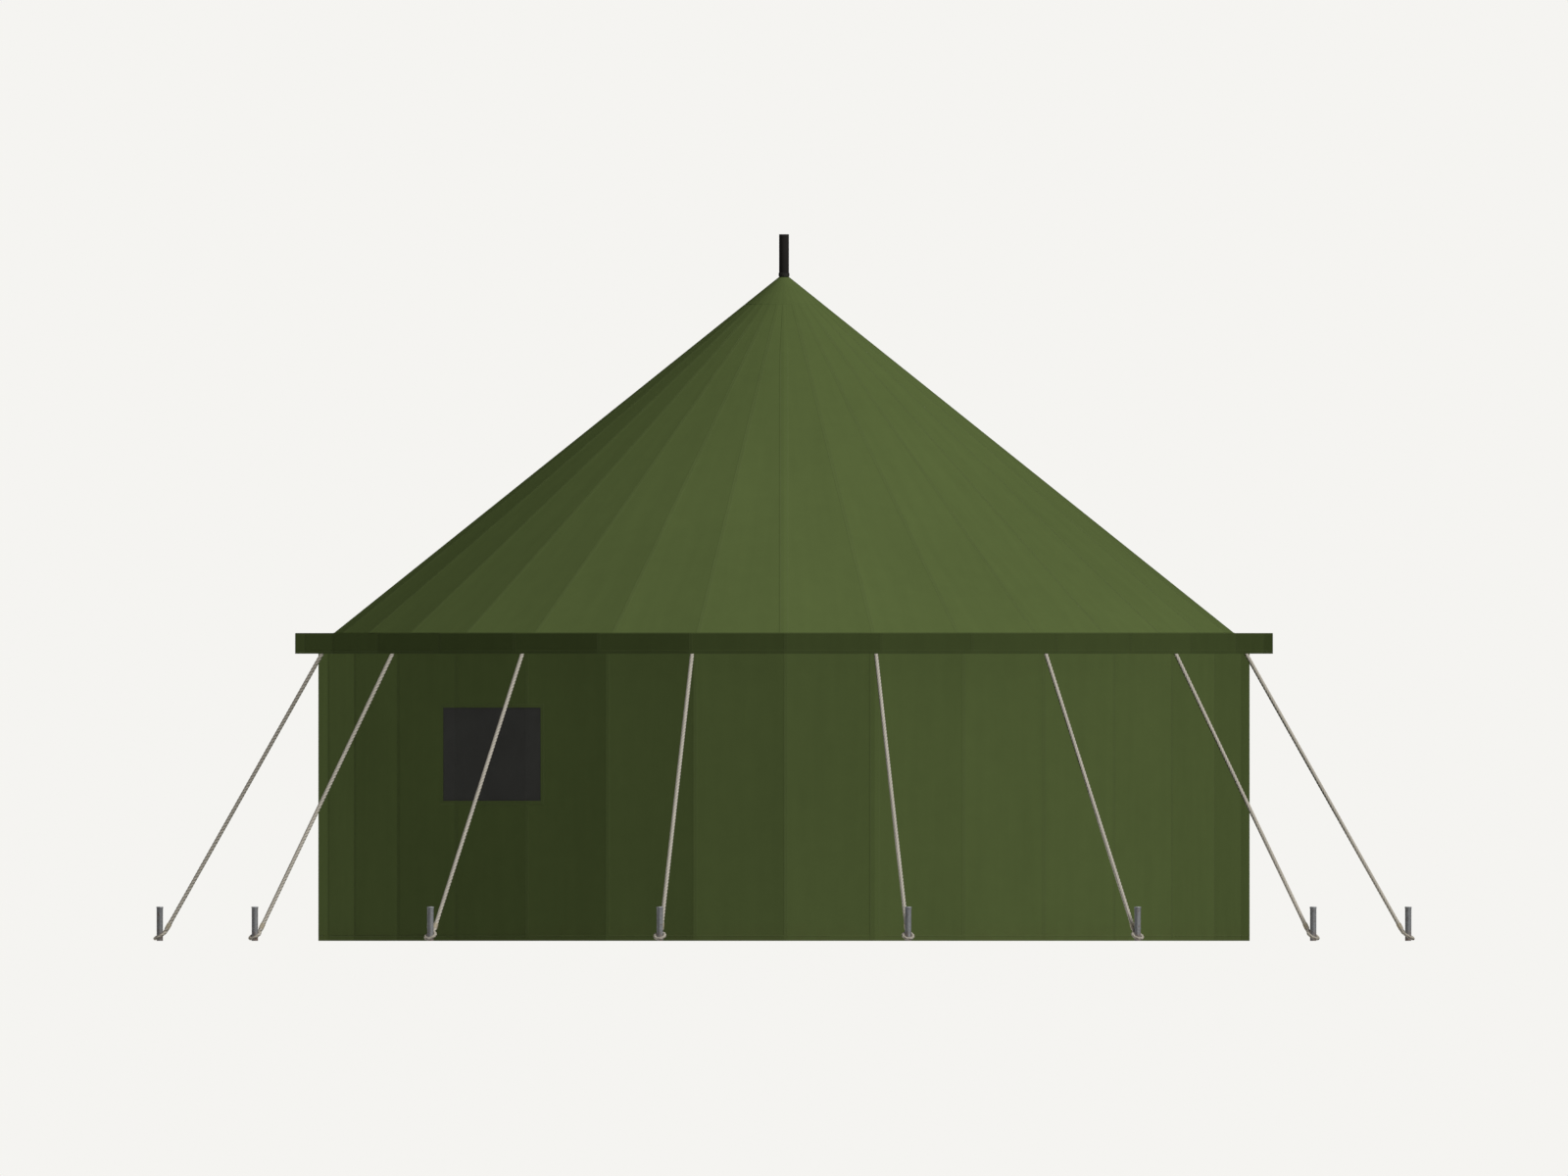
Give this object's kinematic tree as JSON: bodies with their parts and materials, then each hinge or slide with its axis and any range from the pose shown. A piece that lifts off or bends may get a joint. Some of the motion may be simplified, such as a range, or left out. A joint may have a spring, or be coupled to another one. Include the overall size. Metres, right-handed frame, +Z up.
{
  "type": "round single-pole canvas tent",
  "caption": "Round olive canvas tent with a cone roof on one king pole, upright walls with a screened window, a flat eave brim with a valance, and guy ropes to stakes.",
  "frame": {"origin": "on the ground at the centre of the king pole's foot", "axes": "+Z up, the king pole's axis; -Y the front, with the window left of its middle; +X to the right"},
  "size_m": [13.5686, 13.5686, 7.59],
  "materials": {
    "olive_canvas": "matt proofed cotton canvas",
    "dark_olive_canvas": "matt proofed cotton canvas, a darker cloth",
    "black_mesh": "fine dark woven mesh",
    "black_paint": "near-black satin paint",
    "galvanised_steel": "dull galvanised",
    "stake_steel": "worn grey steel",
    "natural_rope": "dry three-strand natural fibre"
  },
  "bodies": {
    "root": {"king_pole": "black_paint", "roof_front_right": "olive_canvas", "roof_back_right": "olive_canvas", "roof_back_left": "olive_canvas", "roof_front_left": "olive_canvas", "wall_front": "olive_canvas", "wall_right": "olive_canvas", "wall_back": "olive_canvas", "wall_left": "olive_canvas", "window_screen": "black_mesh", "eave_band_front": "dark_olive_canvas", "eave_band_back": "dark_olive_canvas", "side_pole_01": "galvanised_steel", "side_pole_02": "galvanised_steel", "side_pole_03": "galvanised_steel", "side_pole_04": "galvanised_steel", "side_pole_05": "galvanised_steel", "side_pole_06": "galvanised_steel", "side_pole_07": "galvanised_steel", "side_pole_08": "galvanised_steel", "side_pole_09": "galvanised_steel", "side_pole_10": "galvanised_steel", "side_pole_11": "galvanised_steel", "side_pole_12": "galvanised_steel", "side_pole_13": "galvanised_steel", "side_pole_14": "galvanised_steel", "side_pole_15": "galvanised_steel", "side_pole_16": "galvanised_steel", "guy_rope_01": "natural_rope", "guy_rope_02": "natural_rope", "guy_rope_03": "natural_rope", "guy_rope_04": "natural_rope", "guy_rope_05": "natural_rope", "guy_rope_06": "natural_rope", "guy_rope_07": "natural_rope", "guy_rope_08": "natural_rope", "guy_rope_09": "natural_rope", "guy_rope_10": "natural_rope", "guy_rope_11": "natural_rope", "guy_rope_12": "natural_rope", "guy_rope_13": "natural_rope", "guy_rope_14": "natural_rope", "guy_rope_15": "natural_rope", "guy_rope_16": "natural_rope", "stake_01": "stake_steel", "stake_02": "stake_steel", "stake_03": "stake_steel", "stake_04": "stake_steel", "stake_05": "stake_steel", "stake_06": "stake_steel", "stake_07": "stake_steel", "stake_08": "stake_steel", "stake_09": "stake_steel", "stake_10": "stake_steel", "stake_11": "stake_steel", "stake_12": "stake_steel", "stake_13": "stake_steel", "stake_14": "stake_steel", "stake_15": "stake_steel", "stake_16": "stake_steel"}
  },
  "joints": []
}
